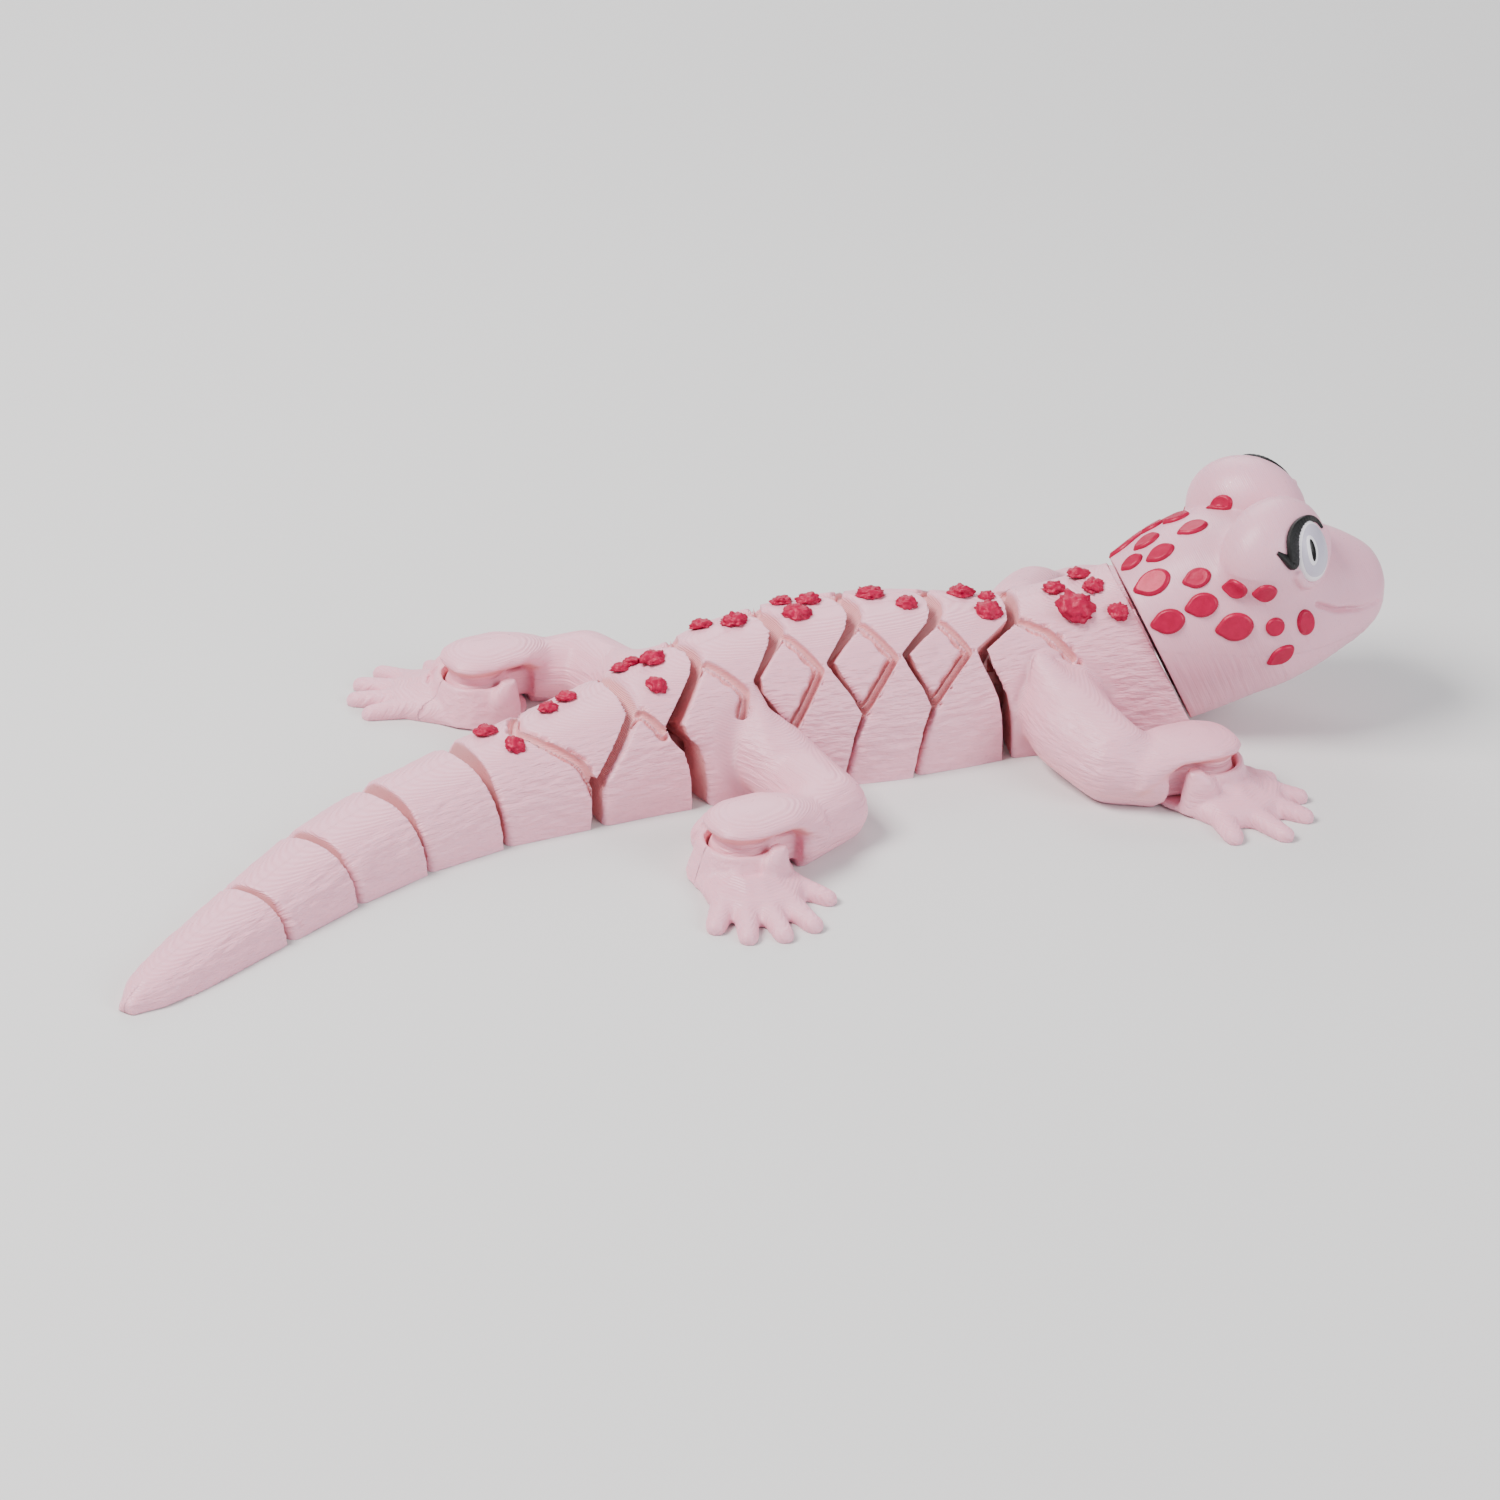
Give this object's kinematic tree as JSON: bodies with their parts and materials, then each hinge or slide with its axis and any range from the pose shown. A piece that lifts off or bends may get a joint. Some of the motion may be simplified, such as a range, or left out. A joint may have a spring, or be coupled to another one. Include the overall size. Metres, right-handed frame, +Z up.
{
  "type": "jointed 3-D printed toy gecko",
  "caption": "Print-in-place gecko toy: pink body of pinned links, raised red spots, flat splayed feet that turn, glued head with big lashed eyes.",
  "frame": {"origin": "middle of the rectangle the toy covers on the floor, at floor height", "axes": "+X along the longest side, towards the head; +Y towards the toy's left; +Z up"},
  "size_m": [0.2164, 0.1148, 0.04],
  "materials": {
    "skin": "satin pale pink print with carved ridges",
    "head": "satin pale pink print with fine layer lines",
    "spots": "glossy silk red",
    "eye": "satin pale lilac with a black slit pupil",
    "lash": "satin black"
  },
  "bodies": {
    "tail_tip": {"tail_tip": "skin"},
    "tail_link_3": {"tail_link_3": "skin"},
    "tail_link_2": {"tail_link_2": "skin"},
    "tail_link_1": {"tail_link_1": "skin"},
    "tail_base": {"tail_base": "skin"},
    "rump_link": {"rump_link": "skin"},
    "hip_link": {"hip_link": "skin", "leg_left": "skin", "leg_right": "skin"},
    "torso_link_1": {"torso_link_1": "skin"},
    "torso_link_2": {"torso_link_2": "skin"},
    "torso_link_3": {"torso_link_3": "skin"},
    "shoulder_link": {"shoulder_link": "skin", "arm_left": "skin", "arm_right": "skin", "head": "head", "eye_left": "eye", "eye_right": "eye", "lash_left": "lash", "lash_right": "lash"},
    "foot_left": {"foot_left": "skin"},
    "foot_right": {"foot_right": "skin"},
    "hand_left": {"hand_left": "skin"},
    "hand_right": {"hand_right": "skin"}
  },
  "joints": [
    {"name": "pin_tail_tip", "type": "hinge", "parent": "tail_link_3", "child": "tail_tip", "pos_m": [-0.08094, -0.00537, 0.005], "axis": [0, 0, 1], "range_deg": [-10, 7]},
    {"name": "pin_tail_link_3", "type": "hinge", "parent": "tail_link_2", "child": "tail_link_3", "pos_m": [-0.06723, 0.00097, 0.005], "axis": [0, 0, 1], "range_deg": [-15, 3.5]},
    {"name": "pin_tail_link_2", "type": "hinge", "parent": "tail_link_1", "child": "tail_link_2", "pos_m": [-0.05263, 0.00571, 0.005], "axis": [0, 0, 1], "range_deg": [-19.5, 2.5]},
    {"name": "pin_tail_link_1", "type": "hinge", "parent": "tail_base", "child": "tail_link_1", "pos_m": [-0.03693, 0.00792, 0.005], "axis": [0, 0, 1], "range_deg": [-18.5, 3]},
    {"name": "pin_tail_base", "type": "hinge", "parent": "rump_link", "child": "tail_base", "pos_m": [-0.02032, 0.00768, 0.005], "axis": [0, 0, 1], "range_deg": [-9.5, 8.5]},
    {"name": "pin_rump_link", "type": "hinge", "parent": "hip_link", "child": "rump_link", "pos_m": [-0.00373, 0.00725, 0.005], "axis": [0, 0, 1], "range_deg": [-2.5, 10]},
    {"name": "pin_torso_link_1", "type": "hinge", "parent": "hip_link", "child": "torso_link_1", "pos_m": [0.00915, 0.00792, 0.005], "axis": [0, 0, 1], "range_deg": [-1, 16.5]},
    {"name": "pin_torso_link_2", "type": "hinge", "parent": "torso_link_1", "child": "torso_link_2", "pos_m": [0.02268, 0.0065, 0.005], "axis": [0, 0, 1], "range_deg": [-1, 14.5]},
    {"name": "pin_torso_link_3", "type": "hinge", "parent": "torso_link_2", "child": "torso_link_3", "pos_m": [0.03607, 0.00316, 0.005], "axis": [0, 0, 1], "range_deg": [-1.5, 12.5]},
    {"name": "pin_shoulder_link", "type": "hinge", "parent": "torso_link_3", "child": "shoulder_link", "pos_m": [0.05199, -0.00279, 0.005], "axis": [0, 0, 1], "range_deg": [-3.5, 7.5]},
    {"name": "ankle_left", "type": "hinge", "parent": "hip_link", "child": "foot_left", "pos_m": [-0.02132, 0.03917, 0.005], "axis": [0, 0, 1], "range_deg": [-39.5, 26]},
    {"name": "ankle_right", "type": "hinge", "parent": "hip_link", "child": "foot_right", "pos_m": [-0.0123, -0.02604, 0.005], "axis": [0, 0, 1], "range_deg": [-45.5, 20.5]},
    {"name": "wrist_left", "type": "hinge", "parent": "shoulder_link", "child": "hand_left", "pos_m": [0.08544, 0.01331, 0.005], "axis": [0, 0, 1], "range_deg": [-51, 8.5]},
    {"name": "wrist_right", "type": "hinge", "parent": "shoulder_link", "child": "hand_right", "pos_m": [0.0639, -0.03795, 0.005], "axis": [0, 0, 1], "range_deg": [-8.5, 51]}
  ]
}
